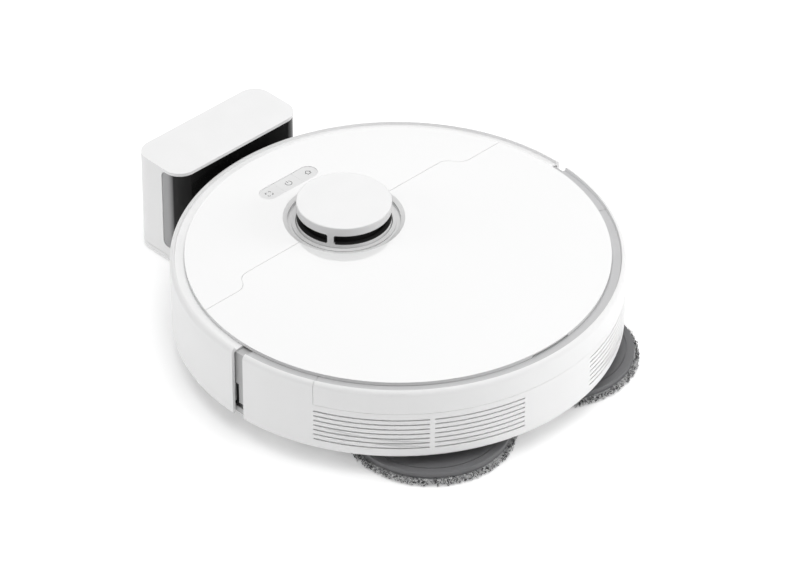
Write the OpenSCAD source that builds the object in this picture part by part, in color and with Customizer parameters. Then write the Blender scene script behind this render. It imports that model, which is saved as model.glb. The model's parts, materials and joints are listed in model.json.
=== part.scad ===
// Robot vacuum and mop with its charging dock.
// Millimetres.  The origin is the centre of the round body on the floor, +Z is up,
// -Y is the front (bumper and dock), +Y the rear (vents and mop pads), +X the robot's left.

/* [Body] */
// Radius of the round body
body_r = 175; // [174:0.5:176]
// Height of the rim above the floor
rim_z = 80; // [79.5:0.5:80.5]
// Height of the glossy top plate above the floor
top_z = 80.8; // [80.6:0.1:81.2]
// Radius of the glossy top plate
plate_r = 163.6; // [163.2:0.2:163.8]
// Thickness of the lid and the front cover
plate_t = 2.8; // [2.6:0.1:2.8]
// Height of the lower edge of the bumper and the rear skirt
skirt_z = 19; // [18:0.5:20]
// Ground clearance of the belly
belly_z = 12; // [11.5:0.5:12.5]
// Wall thickness of the outer shells
shell_t = 2.6; // [2.2:0.1:2.8]
// Travel of the bumper
bumper_travel = 4; // [3:0.5:4]

/* [Turret] */
// Distance of the turret's centre in front of the body's centre
turret_back = 59.85; // [59:0.5:60.5]
// Radius of the turret's cap
cap_r = 37.1; // [36.5:0.1:37.4]
// Height of the cap's top above the floor
cap_z = 96.6; // [96:0.2:97.4]
// Radius of the round opening in the top plate
moat_r = 44; // [43.8:0.1:44.4]
// Lower edge of the windows
window_lo = 81.1; // [80.8:0.1:81.4]
// Upper edge of the windows
window_hi = 89.3; // [88.8:0.1:89.8]
// Number of posts between the windows
post_count = 3; // [3:1:4]

/* [Vents] */
// Slots in each vent block
vent_rows = 7; // [5:1:7]
// Height from one slot to the next
vent_pitch = 4.35; // [4.2:0.05:4.4]
// Height of one slot
vent_h = 1.3; // [1.2:0.1:2]
// Height of the lowest slot's centre
vent_lo = 27.5; // [27:0.5:28]

/* [Wheels] */
// Radius of a drive wheel over its tyre
wheel_r = 35; // [34:0.5:35]
// Width of a drive wheel
wheel_w = 20; // [18:1:21]
// Distance of each drive wheel's middle from the body's centre line
wheel_x = 116; // [115:0.5:117]
// Radius of the caster wheel
caster_r = 12; // [11:0.5:12]

/* [Cleaning] */
// Radius of a mop pad over its fringe
pad_r = 66.2; // [65:0.1:66.3]
// Distance of each mop pad's centre from the body's centre line
pad_x = 66.6; // [66.5:0.1:67]
// Distance of the mop pads' centres behind the body's centre
pad_y = 103.7; // [103:0.1:104]
// Radius of a mop pad's carrier plate
carrier_r = 62; // [60:0.5:63]
// Radius of the main brush over its bristles
brush_r = 18.5; // [17.5:0.5:18.5]
// Length of the main brush
brush_l = 164; // [160:1:166]
// Reach of the side brush
side_brush_r = 54; // [48:1:55]

/* [Dock] */
// Width of the dock
dock_w = 131; // [129:1:133]
// Height of the dock
dock_h = 89; // [87:0.5:91]
// Distance of the dock's rear face behind the body's centre
dock_back = 231; // [229:0.5:232]
// Distance of the dock's front edge from the body's centre
dock_front = 177.5; // [177:0.1:178.5]

/* [Hidden] */
$fn = 96;

// Clearances
gap = 0.3;                              // between pieces that don't touch
fit = 0.05;                             // radial, running fit of a pin in its bore

// Body
shoulder_r = 4.2;                       // rounding of the body's upper edge
hem_r = 2.2;                            // rounding of the body's lower edge
tub_r = 159.5;                          // outside of the chassis tub, clear of the pressed bumper
tub_t = 2.2;
floor_t = 3;
bumper_a0 = 179.3;                      // angles are measured from +X towards +Y
bumper_a1 = 360.7;
skirt_a0 = 4.3;
band_a0 = 24.6;
band_z = 59.5;                          // seam between the skirt and the band above it
lid_z = top_z - plate_t;
channel_z = lid_z - gap;                // floor of the channel between the top plate and the rim
channel_r = 170.9;                      // where that floor ends and the rim's inner wall starts
crest_r = 171.5;                        // where that wall meets the rim's rounded top
flange_t = 1.5;
flange_in = 161.5;                      // the bumper's top flange reaches under the top plate
hem_in = tub_r + bumper_travel + 0.8;   // its lower flange clears the tub when pressed
tub_top = channel_z - flange_t - gap;
pillar_out = 170.5;                     // outside of the pillars at the bumper's ends
seam_y = -turret_back;                  // seam between the front cover and the lid
step_y = -46.6;                         // the same seam outside its S-shaped step
step_x0 = 102.6;
step_x1 = 123.4;
step_r = ((step_x1 - step_x0) ^ 2 + (step_y - seam_y) ^ 2) / (4 * (step_y - seam_y));
step_turn = asin((step_x1 - step_x0) / 2 / step_r);
step_n = 7;
seam_gap = 0.15;
window_half = 13;                       // bumper window, half its angle and its height
window_z0 = 34;
window_z1 = 62;

// Turret, measured on its own axis
cap_wall = 2.2;
cap_round = 0.9;                        // rounding of the cap's upper edge
cap_low = 72;
ring_low = 74;                          // the moat's ring: underside, floor and inner ridge
ring_floor = 77;
ridge_z = 78.2;
ridge_r = 40.9;
window_corner = 1.2;
corner_steps = 4;
post_a = 8;                             // width of a post in degrees
post_a0 = 30;                           // direction of the first post
rotor_r = 31;
base_z = 56;                            // underside of the lidar's base plate
pulley_x = 46;                          // distance of the lidar's drive pulley

// Buttons
pill_y = -122.5;
pill_l = 57;
pill_w = 15.6;
button_pitch = 20.6;
button_z = 80.4;
button_gap = 0.08;
button_split = pill_l / 6;              // half the middle button's length, before its gap
board_z = 66;

// Battery, three columns of cells
battery_y0 = -131;
cell_d = 18;

// Lid hinge: arms that run in curved guides, centred on the seam's upper edge
hinge_r0 = 8;
hinge_r1 = 11;
hinge_x = 88.5;
hinge_w = 5;

// Drive wheel module, left side
well_x0 = 90;
well_x1 = 130;
well_y0 = -40;
well_y1 = 52;
arm_y = 38;
arm_z = 46;
arm_x0 = 97;
arm_x1 = 103;
axle_r = 4;
hub_r = 27;
motor_y = 18;
motor_z = 52;
motor_r = 11;

// Caster
caster_y = -116;
caster_trail = 7;
fork_r = 18;
fork_top = 30;

// Main brush
brush_y = -49;
brush_z = 20;
bay_x = 87;
bay_y0 = -73;
bay_y1 = -25;
bay_top = 43;
core_r = 11;
brush_pin_r = 3;

// Side brush
side_x = -104;
side_y = -98;
side_shaft_r = 3;

// Mops
pad_t = 5.6;
carrier_t = 4.4;
bay_r = 69.5;                           // recess in the belly over each mop pad
mop_shaft_r = 6;

// Belly
cliff_places = [[60, -142], [-60, -142], [146, -52], [-146, -52], [147, 50], [-147, 50]];
screw_places = [[0, 20], [50, 20], [-50, 20], [0, -14], [97, -92], [-62, -88], [0, 150]];
screw_r = 1.4;
head_r = 2.8;
head_z0 = belly_z + 0.2;
head_z1 = belly_z + 1.8;

// Dustbin, fan, tank
bin_x = 60;
bin_y0 = -14;
bin_y1 = 47;
bin_z0 = 24;
bin_z1 = 76;
bin_t = 1.8;
fan_x = 60;
fan_y = 76;
fan_r = 24;
tank_x = 92;
tank_y0 = 104;
tank_y1 = 144;
tank_r = 150;
deck_z = 70;
deck_t = 2;

// Dock
dock_r = 15;                            // rounding of the dock's upright edges
dock_top_t = 2.7;
dock_wall = 2.4;
panel_z0 = 14.5;
panel_z1 = dock_h - dock_top_t - 0.2;
panel_y = -198;                         // where the black front panel ends on each side
panel_corner = 5;
dock_face_y = -186;                     // deepest point of the hollow front face
dock_face_x = 52;                       // half the width of the hollow front face
dock_sag = -dock_front - 0.5 - dock_face_y;
dock_face_r = (dock_face_x ^ 2 + dock_sag ^ 2) / (2 * dock_sag);
crescent_a = 35;                        // slope of the crescent under the top edge
plate_front = -140;                     // front end of the plate that the robot stands over
contact_x = 27;
contact_y = -150;
inlet_r = 2.8;                          // takes a 5.5 mm plug

// A part of a revolved profile, from angle a0 to angle a1
module arc(a0, a1) { rotate([0, 0, a0]) rotate_extrude(angle = a1 - a0) children(); }

// A block in the radius-height plane with a rounded top (rt) and bottom (rb) on its outer side
module rounded_side(r0, r1, z0, z1, rt, rb) {
    translate([r0, z0]) square([r1 - rb - r0, z1 - rt - z0]);
    translate([r0, z0 + rb]) square([r1 - r0, z1 - rt - z0 - rb]);
    translate([r0, z0 + rb]) square([r1 - rt - r0, z1 - z0 - rb]);
    translate([r1 - rt, z1 - rt]) circle(rt);
    translate([r1 - rb, z0 + rb]) circle(rb);
}

// The outer shell's section: a wall with a rounded top and bottom and a flange inward at each end.
// The upper flange is the channel's floor, and the rim's inner wall rises from it.
module shell_section(top_in, bottom_in) {
    inside = min(top_in, bottom_in);
    middle_z = (skirt_z + rim_z) / 2;
    difference() {
        rounded_side(inside, body_r, skirt_z, rim_z, shoulder_r, hem_r);
        rounded_side(inside - 1, body_r - shell_t, skirt_z + shell_t, channel_z - flange_t, 0.8, 0.4);
        translate([0, skirt_z - 1]) square([bottom_in, middle_z - skirt_z + 1]);
        translate([0, middle_z]) square([top_in, middle_z]);
        polygon([[inside - 1, channel_z], [channel_r, channel_z], [crest_r, rim_z], [crest_r, rim_z + 1],
            [inside - 1, rim_z + 1]]);
    }
}

module ring2d(r_out, r_in) { difference() { circle(r_out); circle(r_in); } }
module tube(r_out, r_in, h) { linear_extrude(h) ring2d(r_out, r_in); }
module box(x0, x1, y0, y1, z0, z1) { translate([x0, y0, z0]) cube([x1 - x0, y1 - y0, z1 - z0]); }
module along_x(x0, x1, y, z, r) { translate([x0, y, z]) rotate([0, 90, 0]) cylinder(h = x1 - x0, r = r); }
module pair() { children(); mirror([1, 0, 0]) children(); }
module at_turret() { translate([0, seam_y, 0]) children(); }

// A rectangle with rounded corners, each its own radius, from its lower corner (x0, y0)
module soft_rect(x0, x1, y0, y1, r) {
    translate([x0 + r, y0]) square([x1 - x0 - 2 * r, y1 - y0]);
    translate([x0, y0 + r]) square([x1 - x0, y1 - y0 - 2 * r]);
    for (x = [x0 + r, x1 - r], y = [y0 + r, y1 - r]) translate([x, y]) circle(r);
}

// ---- Outer casing -------------------------------------------------------------------------

// The seam's S-shaped step on the +X side: two arcs of step_n chords each
function step_points() = concat(
    [for (k = [0 : step_n]) let (a = step_turn * k / step_n)
        [step_x0 + step_r * sin(a), seam_y + step_r * (1 - cos(a))]],
    [for (k = [step_n - 1 : -1 : 0]) let (a = step_turn * k / step_n)
        [step_x1 - step_r * sin(a), step_y - step_r * (1 - cos(a))]]
);

// The part of the top that belongs to the lid: everything behind the stepped seam
module behind_seam(shift) translate([0, shift]) {
    right = step_points();
    left = [for (k = [len(right) - 1 : -1 : 0]) [-right[k][0], right[k][1]]];
    polygon(concat([[-300, 300], [-300, step_y]], left, right, [[300, step_y], [300, 300]]));
}

module base_chassis() color("gainsboro") {
    difference() {
        union() {
            rotate_extrude() polygon([
                [0, belly_z], [tub_r - 4, belly_z], [tub_r, belly_z + 4], [tub_r, tub_top],
                [tub_r - tub_t, tub_top], [tub_r - tub_t, belly_z + floor_t + 2],
                [tub_r - tub_t - 2, belly_z + floor_t], [0, belly_z + floor_t]
            ]);
            // roofs of the two shallow recesses over the mop pads
            intersection() {
                for (s = [-1, 1]) translate([s * pad_x, pad_y, belly_z]) cylinder(h = 7, r = bay_r + 2);
                translate([0, 0, belly_z]) cylinder(h = 7, r = tub_r - 1);
            }
            // pillars that close the gaps at the bumper's two ends
            for (a = [-4, 175.9]) arc(a, a + 8.1) translate([tub_r - 1, skirt_z])
                square([pillar_out - tub_r + 1, tub_top - 0.2 - skirt_z]);
            pair() wheel_well(0);
            // brush bay, caster socket and side brush seat
            box(-bay_x - 2, bay_x + 2, bay_y0 - 2, bay_y1 + 2, belly_z, bay_top + 2);
            translate([0, caster_y, belly_z]) cylinder(h = fork_top + 6 - belly_z, r = fork_r + 5);
            translate([side_x, side_y, belly_z]) cylinder(h = 11, r = 12);
        }
        for (s = [-1, 1]) translate([s * pad_x, pad_y, 0]) {
            cylinder(h = 16.5, r = bay_r);
            cylinder(h = 30, r = mop_shaft_r + 1);
        }
        pair() wheel_well(1);
        box(-bay_x, bay_x, bay_y0, bay_y1, 0, bay_top);
        // dirt duct from the brush bay to the dustbin
        box(-30, 30, bay_y1 - 1, bay_y1 + 3, 30, 42);
        // running bores: brush pins, caster, side brush shaft
        along_x(-bay_x - 3, bay_x + 3, brush_y, brush_z, brush_pin_r + fit);
        translate([0, caster_y, 0]) {
            cylinder(h = fork_top, r = fork_r + 3.5);
            cylinder(h = fork_top + 10, r = 4 + fit);
        }
        translate([side_x, side_y, 0]) {
            cylinder(h = 40, r = side_shaft_r + fit);
            cylinder(h = 17, r = 9.5);
        }
        // seats of the screws, the cliff sensors and the two charging contacts
        for (p = screw_places) translate([p[0], p[1], 0]) {
            cylinder(h = head_z1, r = head_r + gap);
            cylinder(h = 30, r = screw_r + fit);
        }
        for (p = cliff_places) translate([p[0], p[1], belly_z - 1]) cylinder(h = 10, r = 5);
        pair() box(contact_x - 8, contact_x + 8, contact_y - 5, contact_y + 5, belly_z - 1, belly_z + 5);
        // the dark slot at the foot of each end pillar
        for (a = [[-5, 5], [175, 185]])
            arc(a[0], a[1]) translate([tub_r + 3, 24]) square([10, 4.6]);
        pair() arc(0.2, 1.4) translate([tub_r + 3, 24]) square([10, 22]);
    }
}

// The drive wheel's well, left side: cut = 0 gives its walls, cut = 1 its hollow
module wheel_well(cut) {
    t = (1 - cut) * 2;
    low = belly_z - cut * 20;
    difference() {
        union() {
            box(well_x0 - t, well_x1 + t, well_y0 - t, well_y1 + t, low, 74 + t);
            if (cut == 1) {
                // opening for the drive motor and bore for the arm's pivot pin
                box(well_x0 - 4, well_x0 + 1, motor_y - 15, motor_y + 14, 26, 68);
                along_x(well_x0 - 9, well_x0 + 1, arm_y, arm_z, 3 + fit);
            }
        }
        if (cut == 1) box(well_x0 - 30, well_x0, arm_y - 40, arm_y + 40, -20, belly_z + floor_t);
    }
    if (cut == 0) along_x(well_x0 - 8, well_x0 + 5, arm_y, arm_z, 6);
}

module vent_cuts() {
    blocks = [[band_a0 + 0.1, 53.5], [54.8, 78.5], [101.5, 125.2], [126.5, 155.3]];
    for (b = blocks, k = [0 : vent_rows - 1])
        arc(b[0], b[1]) translate([body_r - 6, vent_lo + k * vent_pitch - vent_h / 2]) square([8, vent_h]);
}

module rear_skirt() color("white") difference() {
    arc(skirt_a0, 180 - skirt_a0) shell_section(channel_r, tub_r + gap);
    // the trim band takes the upper part between the two corners
    arc(band_a0, 180 - band_a0) translate([channel_r - 5, band_z]) square([20, 40]);
    vent_cuts();
}

module rear_trim_band() color("whitesmoke") arc(band_a0 + 0.1, 179.9 - band_a0) intersection() {
    shell_section(channel_r, tub_r + gap);
    translate([0, band_z + 0.2]) square([200, 40]);
}

module rim_ring() color("silver") difference() {
    arc(skirt_a0, 180 - skirt_a0) translate([tub_r + gap, channel_z - 3])
        square([channel_r - 0.1 - tub_r - gap, 3]);
    // fine notches in line with the trim band's ends
    for (a = [band_a0, 180 - band_a0])
        arc(a - 0.06, a + 0.06) translate([plate_r - 1, channel_z - 0.5]) square([10, 2]);
}

module front_cover() color("white") difference() {
    translate([0, 0, lid_z]) linear_extrude(plate_t) difference() {
        circle(plate_r);
        behind_seam(-seam_gap);
    }
    at_turret() moat_cut();
    translate([0, pill_y, lid_z - 1]) linear_extrude(5) pill2d(0);
}

// The opening round the turret, with its sloped edge
module moat_cut() {
    rotate_extrude() polygon([
        [0, 60], [moat_r, 60], [moat_r, top_z - 1.3], [moat_r + 3.4, top_z], [moat_r + 3.4, 90], [0, 90]
    ]);
}

module pill2d(inset) {
    r = pill_w / 2 - inset;
    translate([-pill_l / 2 + pill_w / 2, -r]) square([pill_l - pill_w, 2 * r]);
    for (s = [-1, 1]) translate([s * (pill_l - pill_w) / 2, 0]) circle(r);
}

module inner_deck() color("lightgray") {
    difference() {
        union() {
            translate([0, 0, deck_z]) linear_extrude(deck_t) difference() {
                circle(tub_r - tub_t - gap);
                translate([-200, -400]) square([400, 400 - 44]);
            }
            pair() box(hinge_x - 9, hinge_x + hinge_w + 3.5, seam_y - 14, well_y0 - 3, 66, lid_z - 0.6);
        }
        translate([0, 0, deck_z - 10]) linear_extrude(20) {
            soft_rect(-bin_x - 1, bin_x + 1, bin_y0 - 1, bin_y1 + 1, 6);
            tank2d(-1);
            pair() translate([well_x0 - 2.5, well_y0 - 2.5])
                square([well_x1 - well_x0 + 5, well_y1 - well_y0 + 5]);
            translate([fan_x, fan_y]) circle(fan_r + 1);
            translate([0, seam_y]) circle(moat_r + 5);
        }
        // curved guides of the lid's hinge arms
        pair() hinge_arc(hinge_x - gap, hinge_w + 2 * gap, hinge_r0 - gap, hinge_r1 + gap, -180, 0);
    }
}

// A slice of a tube round the lid's hinge line, from angle a0 to a1 below the top plate
module hinge_arc(x0, w, r0, r1, a0, a1) {
    translate([x0, seam_y, top_z]) rotate([90, 0, 90])
        rotate([0, 0, a0]) rotate_extrude_z(w, r0, r1, a1 - a0);
}

module rotate_extrude_z(w, r0, r1, a) {
    rotate_extrude(angle = a) translate([r0, 0]) square([r1 - r0, w]);
}

module lid() color("white") {
    difference() {
        union() {
            translate([0, 0, lid_z]) linear_extrude(plate_t) intersection() {
                circle(plate_r);
                behind_seam(seam_gap);
            }
            // stiffening ribs under the lid
            for (x = [-110, -74, 74, 110]) box(x - 0.8, x + 0.8, -10, 96, lid_z - 1.6, lid_z + 1);
        }
        at_turret() moat_cut();
        // finger notch at the rear edge
        translate([0, 0, lid_z - 1]) linear_extrude(plate_t - 0.2) intersection() {
            ring2d(plate_r + 5, plate_r - 2.5);
            translate([-19, 100]) square([38, 100]);
        }
    }
    pair() hinge_arc(hinge_x, hinge_w, hinge_r0, hinge_r1, -105, -6);
}

module bumper() color("white") difference() {
    arc(bumper_a0, bumper_a1) shell_section(flange_in, hem_in);
    // window opening, with a step that the lens sits on
    arc(270 - window_half, 270 + window_half) translate([150, window_z0]) square([40, window_z1 - window_z0]);
    // the lower flange stops short of each end, clear of the end pillars
    pair() box(120, body_r - shell_t - 0.5, -17, 5, skirt_z - 1, skirt_z + 12);
}

module bumper_window() color("black") {
    arc(270 - window_half, 270 + window_half) translate([body_r - shell_t + 0.6, window_z0])
        square([1.7, window_z1 - window_z0]);
}

// ---- Buttons ------------------------------------------------------------------------------

// One third of the pill, from x0 to x1, on a stem at stem_x that stands over its switch
module button(x0, x1, stem_x) color("lightgray") {
    translate([0, pill_y, lid_z - 1.8]) linear_extrude(button_z - lid_z + 1.8) intersection() {
        pill2d(button_gap);
        translate([x0 + button_gap / 2, -20]) square([x1 - x0 - button_gap, 40]);
    }
    translate([stem_x, pill_y, board_z + 6]) cylinder(h = lid_z - board_z - 7, r = 2);
}

module button_home() { button(-pill_l, -button_split, -button_pitch); }
module button_power() { button(-button_split, button_split, 0); }
module button_spot() { button(button_split, pill_l, button_pitch); }

// ---- Turret and lidar ---------------------------------------------------------------------

module turret_ring() color("silver") at_turret() rotate_extrude() polygon([
    [cap_r + 0.6, ring_low], [42, ring_low], [42, bin_z1 + gap], [46.8, bin_z1 + gap],
    [46.8, lid_z - 0.4], [moat_r - 0.5, lid_z - 0.4],
    [moat_r - 0.5, ring_floor], [ridge_r, ring_floor], [ridge_r, ridge_z], [cap_r + 0.6, ridge_z]
]);

module turret_cover() color("white") at_turret() difference() {
    rotate_extrude() difference() {
        rounded_side(0, cap_r, cap_low, cap_z, cap_round, 0.4);
        translate([-1, cap_low - 1]) square([cap_r - cap_wall + 1, cap_z - cap_low - 1]);
    }
    for (k = [0 : post_count - 1]) {
        step = 360 / post_count;
        a0 = post_a0 + k * step + post_a / 2;
        turret_window(a0, a0 + step - post_a);
    }
}

// A window's cut from angle a0 to angle a1, its corners rounded in fine steps
module turret_window(a0, a1) {
    turn = asin(window_corner / cap_r);
    for (k = [0 : corner_steps]) {
        t = 90 * k / corner_steps;
        side = turn * (1 - sin(t));
        rise = window_corner * (1 - cos(t));
        arc(a0 + side, a1 - side) translate([cap_r - 8, window_lo + rise])
            square([12, window_hi - window_lo - 2 * rise]);
    }
}

module lidar_base() color("dimgray") at_turret() difference() {
    union() {
        translate([0, 0, base_z]) cylinder(h = 3, r = 34);
        box(28, 58, -12, 12, base_z, base_z + 3);
        translate([0, 0, base_z + 2]) cylinder(h = 18, r = 5);
    }
    translate([pulley_x, 0, base_z - 1]) cylinder(h = 5, r = 4);
}

module lidar_rotor() color("black") at_turret() difference() {
    union() {
        translate([0, 0, base_z + 4]) cylinder(h = 2, r = 30);
        translate([0, 0, base_z + 5]) cylinder(h = 7, r = 27);
        translate([0, 0, base_z + 11]) cylinder(h = 2, r = 30);
        translate([0, 0, base_z + 12]) cylinder(h = 4, r = 24);
        translate([0, 0, base_z + 15]) cylinder(h = 92 - base_z - 15, r = rotor_r);
    }
    translate([0, 0, base_z]) cylinder(h = 21, r = 5 + fit);
    // laser and sensor openings on one flat side of the head
    box(-40, 40, -40, -26, 78, 95);
    for (s = [-1, 1]) translate([s * 11, -20, 84.5]) rotate([90, 0, 0]) cylinder(h = 12, r = 5.5);
}

module lidar_motor() color("silver") at_turret() translate([pulley_x, 0, 0]) {
    translate([0, 0, base_z - 10]) cylinder(h = 10, r = 10);
    translate([0, 0, base_z - 1]) cylinder(h = 4, r = 3.8);
}

module lidar_pulley() color("gold") at_turret() translate([pulley_x, 0, base_z + 4]) {
    cylinder(h = 1.5, r = 6);
    cylinder(h = 10, r = 4);
    translate([0, 0, 8.5]) cylinder(h = 1.5, r = 6);
}

module lidar_belt() color("black") at_turret() translate([0, 0, base_z + 7]) linear_extrude(3) difference() {
    belt_outline(1.5);
    belt_outline(0);
}

// A loop round the rotor's groove and the pulley, 0.3 mm clear of both
module belt_outline(t) hull() {
    circle(27.3 + t, $fn = 72);
    translate([pulley_x, 0]) circle(4.3 + t, $fn = 32);
}

// ---- Electronics and battery --------------------------------------------------------------

module main_board() color("darkgreen") {
    difference() {
        box(-48, 48, -147, -104, board_z, board_z + 1.6);
        for (x = [-44, 44], y = [-143, -108]) translate([x, y, board_z - 1]) cylinder(h = 4, r = 1.6);
    }
    for (x = [-1, 0, 1]) translate([x * button_pitch - 3, pill_y - 3, board_z + 1.6]) cube([6, 6, 3.6]);
    box(-40, -22, -146, -132, board_z + 1.6, board_z + 3);
    box(4, 18, -144, -132, board_z + 1.6, board_z + 2.8);
    box(24, 42, -118, -106, board_z + 1.6, board_z + 6);
}

module battery_pack() color("steelblue") {
    difference() {
        translate([0, 0, 15.6]) linear_extrude(39) soft_rect(25, 87, battery_y0, battery_y0 + 3 * cell_d, 5);
        // grooves between the three columns of cells, on the top face
        for (k = [1, 2]) box(24, 88, battery_y0 + k * cell_d - 1, battery_y0 + k * cell_d + 1, 53.4, 56);
    }
    box(40, 56, battery_y0 + 3 * cell_d - 0.5, battery_y0 + 3 * cell_d + 1, 40, 50);
}

// ---- Suction ------------------------------------------------------------------------------

module fan_housing() color("dimgray") translate([fan_x, fan_y, 0]) difference() {
    union() {
        translate([0, 0, 43]) cylinder(h = 33, r = fan_r);
        translate([-4, 0, 48]) cube([fan_r + 4, fan_r + 2, 14]);
    }
    translate([0, 0, 45]) cylinder(h = 18, r = fan_r - 2);
    translate([0, 0, 62]) cylinder(h = 12, r = 14.2);
    translate([10, 8, 50]) cube([20, 40, 10]);
    // inlet below the impeller
    translate([0, 0, 40]) cylinder(h = 10, r = 8);
}

module fan_motor() color("silver") translate([fan_x, fan_y, 0]) difference() {
    translate([0, 0, 62]) cylinder(h = 12, r = 14.2);
    translate([0, 0, 60]) cylinder(h = 10, r = 2 + fit);
}

module fan_impeller() color("white") translate([fan_x, fan_y, 0]) {
    translate([0, 0, 57]) cylinder(h = 2, r = 20.5);
    translate([0, 0, 47]) cylinder(h = 11, r = 4);
    translate([0, 0, 58]) cylinder(h = 11.5, r = 2);
    for (k = [0 : 8]) rotate([0, 0, k * 40]) translate([3, -0.6, 47]) cube([17, 1.2, 10.5]);
}

module dustbin() color("lightslategray") difference() {
    translate([0, 0, bin_z0]) linear_extrude(bin_z1 - bin_z0)
        soft_rect(-bin_x, bin_x, bin_y0, bin_y1, 5);
    translate([0, 0, bin_z0 + bin_t]) linear_extrude(bin_z1 - bin_z0 - 2 * bin_t)
        soft_rect(-bin_x + bin_t, bin_x - bin_t, bin_y0 + bin_t, bin_y1 - bin_t, 4);
    // dirt inlet in front, filter seat behind, grip recess on top
    box(-29, 29, bin_y0 - 1, bin_y0 + 4, 30, 42);
    box(6, 54, bin_y1 - 4, bin_y1 + 1, 32, 68);
    box(-22, 22, 4, 26, bin_z1 - 1.2, bin_z1 + 1);
}

module dust_filter() color("ivory") {
    difference() {
        box(6.3, 53.7, 37, bin_y1 - 0.3, 32.3, 67.7);
        box(9.3, 50.7, 36, bin_y1 + 1, 35.3, 64.7);
    }
    pleats = 10;
    pitch = 41.4 / pleats;
    for (k = [0 : pleats - 1]) box(9.3 + k * pitch, 9.3 + (k + 0.55) * pitch, 39, 45.5, 35.3, 64.7);
    box(9.3, 50.7, 41.5, 42.5, 35.3, 64.7);
}

// Plan of the water tank, drawn in by t
module tank2d(t) intersection() {
    soft_rect(-tank_x + t, tank_x - t, tank_y0 + t, tank_y1 - t, 7 - t);
    circle(tank_r - t);
}

module water_tank() color("lightsteelblue") difference() {
    union() {
        translate([0, 0, 43]) linear_extrude(33) tank2d(0);
        translate([62, 118, 74]) cylinder(h = 3, r = 9);
    }
    translate([0, 0, 45]) linear_extrude(29) tank2d(2);
}

// ---- Mop drive ----------------------------------------------------------------------------

module mop_gearbox() color("dimgray") difference() {
    union() {
        translate([0, 0, 19.4]) linear_extrude(20.6) soft_rect(-84, 84, 86, 122, 14);
        for (s = [-1, 1]) translate([s * pad_x, pad_y, 19.4]) cylinder(h = 20.6, r = 22);
        translate([-48, 76, 24]) cylinder(h = 16, r = 17);
    }
    for (s = [-1, 1]) translate([s * pad_x, pad_y, 10]) cylinder(h = 27, r = mop_shaft_r + fit);
}

module mop_motor() color("silver") {
    translate([-48, 76, 40]) cylinder(h = 26, r = 13);
    translate([-48, 76, 66]) cylinder(h = 2, r = 5);
}

module mop_shaft_left() color("silver") translate([pad_x, pad_y, 0]) {
    translate([0, 0, 10.2]) cylinder(h = 26, r = mop_shaft_r);
    intersection() {
        translate([0, 0, 7]) cylinder(h = 3.4, r = mop_shaft_r);
        translate([-4, -4, 7]) cube([8, 8, 3.4]);
    }
}

module mop_plate_left() color("dimgray") translate([pad_x, pad_y, 0]) difference() {
    rotate_extrude() union() {
        translate([0, pad_t]) square([carrier_r - 0.8, carrier_t]);
        translate([0, pad_t]) square([carrier_r, carrier_t - 0.8]);
        translate([carrier_r - 0.8, pad_t + carrier_t - 0.8]) circle(0.8);
    }
    translate([-4.1, -4.1, 6.9]) cube([8.2, 8.2, 10]);
    translate([0, 0, pad_t + carrier_t - 0.6]) tube(carrier_r - 6, carrier_r - 6.6, 2);
}

module mop_pad_left() color("gray") translate([pad_x, pad_y, 0]) rotate_extrude() union() {
    square([pad_r - 2, pad_t]);
    translate([0, 0.8]) square([pad_r, pad_t - 2]);
}

module mop_shaft_right() { mirror([1, 0, 0]) mop_shaft_left(); }
module mop_plate_right() { mirror([1, 0, 0]) mop_plate_left(); }
module mop_pad_right() { mirror([1, 0, 0]) mop_pad_left(); }

// ---- Brushes ------------------------------------------------------------------------------

module brush_roller() color("slategray") {
    along_x(-brush_l / 2, brush_l / 2, brush_y, brush_z, core_r);
    along_x(-bay_x - 1, bay_x + 1, brush_y, brush_z, brush_pin_r);
    // straight blades round the core
    for (k = [0 : 4]) translate([-brush_l / 2 + 2, brush_y, brush_z]) rotate([k * 72, 0, 0])
        translate([0, -1.5, core_r - 1]) cube([brush_l - 4, 3, brush_r - core_r + 1]);
}

module brush_cover() color("dimgray") difference() {
    translate([0, 0, 10]) linear_extrude(3.9) soft_rect(-bay_x + 1, bay_x - 1, bay_y0 + 1, bay_y1 - 1, 6);
    translate([0, 0, 8]) linear_extrude(10) soft_rect(-bay_x + 9, bay_x - 9, brush_y - 18, brush_y + 18, 4);
    // latches, one at each end of the rear edge
    for (s = [-1, 1]) translate([s * 60, bay_y1 - 4, 9]) cylinder(h = 2, r = 1.5);
    // the brush turns inside the frame
    along_x(-bay_x + 3, bay_x - 3, brush_y, brush_z, brush_r + 0.6);
}

module brush_motor() color("silver") {
    along_x(-122, -96, -60, 28, 11);
    along_x(-96, -89.3, -60, 28, 9);
    along_x(-124, -122, -60, 28, 3);
}

module side_brush() color("darkgray") translate([side_x, side_y, 0]) {
    translate([0, 0, 5]) cylinder(h = 11, r = 9);
    translate([0, 0, 15]) cylinder(h = 22, r = side_shaft_r);
    for (k = [0 : 2]) rotate([0, 0, k * 120 + 40]) {
        translate([6, -2.4, 6]) cube([14, 4.8, 4]);
        translate([18, -2, 2.4]) cube([side_brush_r - 18.2, 4, 3.4]);
        translate([18, -1.6, 4]) cube([3, 3.2, 4]);
    }
}

module side_brush_motor() color("silver") translate([side_x, side_y, 0]) difference() {
    union() {
        translate([0, 0, 23.2]) cylinder(h = 18, r = 14);
        translate([0, 0, 41]) cylinder(h = 20, r = 12);
    }
    translate([0, 0, 20]) cylinder(h = 20, r = side_shaft_r + fit);
}

// ---- Wheels -------------------------------------------------------------------------------

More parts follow.
